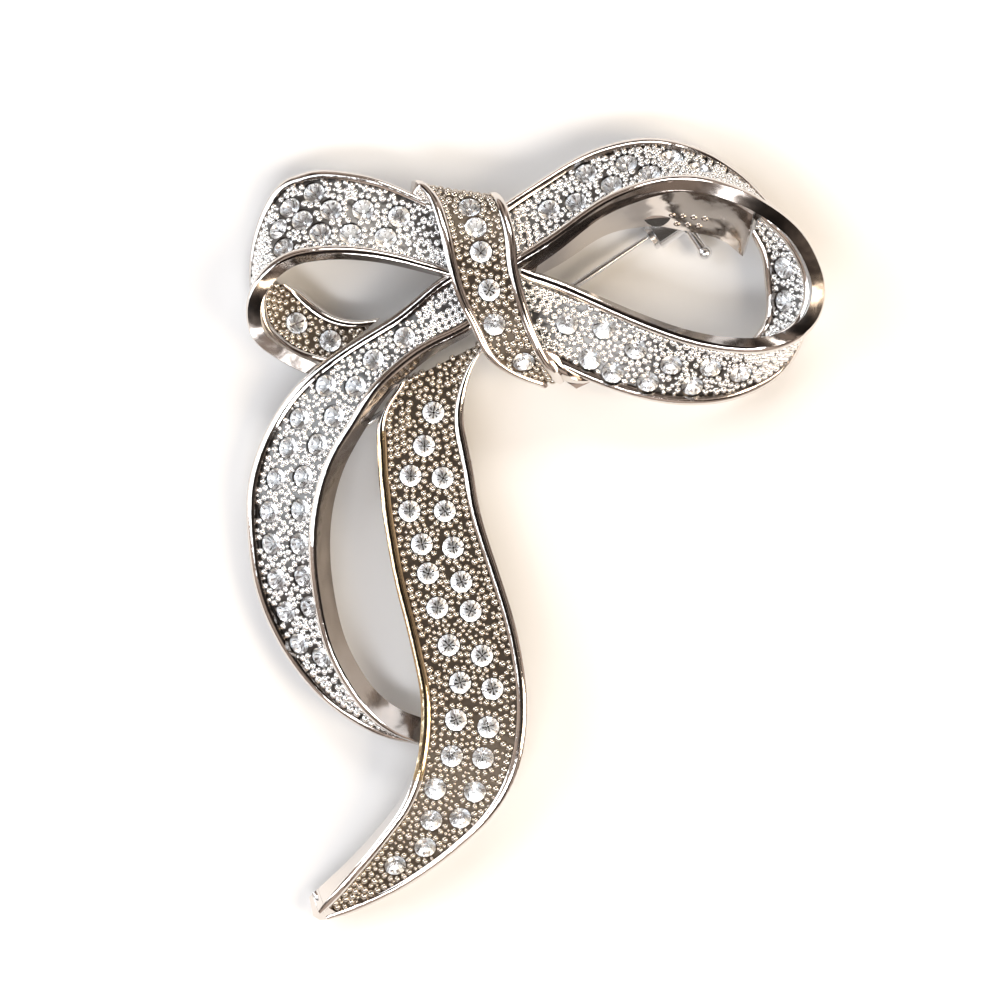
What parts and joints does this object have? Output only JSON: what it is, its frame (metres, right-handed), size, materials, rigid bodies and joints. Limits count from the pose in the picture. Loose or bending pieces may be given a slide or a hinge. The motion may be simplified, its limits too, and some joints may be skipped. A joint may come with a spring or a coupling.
{
  "type": "bow brooch",
  "caption": "Silver-tone ribbon-bow brooch with granulated ribbons, round clear chatons, a hinged pin stem and a rotating safety catch.",
  "frame": {"origin": "centre of the bounding box in plan, at the lowest point of the brooch as it lies on its back", "axes": "+Z out of the face of the bow, +Y from the tails towards the loops, +X towards the larger loop"},
  "size_m": [0.0558, 0.076, 0.0103],
  "materials": {
    "plated_metal": "polished rhodium-look plating on cast base metal, granulated floors darker",
    "casting_back": "plated, as cast",
    "finding_metal": "plated steel and brass findings, semi-polished",
    "chaton": "faceted clear glass with a silver foil back"
  },
  "bodies": {
    "brooch": {"left_loop_outer": "plated_metal", "left_loop_inner": "plated_metal", "right_loop_outer": "plated_metal", "right_loop_inner": "plated_metal", "right_loop_panel": "plated_metal", "left_tail": "plated_metal", "right_tail": "plated_metal", "knot_band": "plated_metal", "knot_core": "casting_back", "knot_fold": "plated_metal", "left_loop_stones": "chaton", "left_inner_stones": "chaton", "right_loop_stones": "chaton", "right_panel_stones": "chaton", "knot_stones": "chaton", "left_tail_stones": "chaton", "right_tail_stones": "chaton", "hinge_pad": "finding_metal", "hinge_bracket": "finding_metal", "hinge_rivet": "finding_metal", "catch_pad": "finding_metal", "catch_housing": "finding_metal"},
    "pin": {"pin_stem": "finding_metal"},
    "catch_sleeve": {"catch_rotor": "finding_metal"}
  },
  "joints": [
    {"name": "pin_hinge", "type": "hinge", "parent": "brooch", "child": "pin", "pos_m": [-0.01892, 0.00855, 0.00189], "axis": [-0.5531, 0.8331, 0], "range_deg": [0, 80]},
    {"name": "catch_lock", "type": "hinge", "parent": "brooch", "child": "catch_sleeve", "pos_m": [0.01265, 0.02951, 0.00189], "axis": [0.8331, 0.5531, 0], "range_deg": [0, 150]}
  ]
}
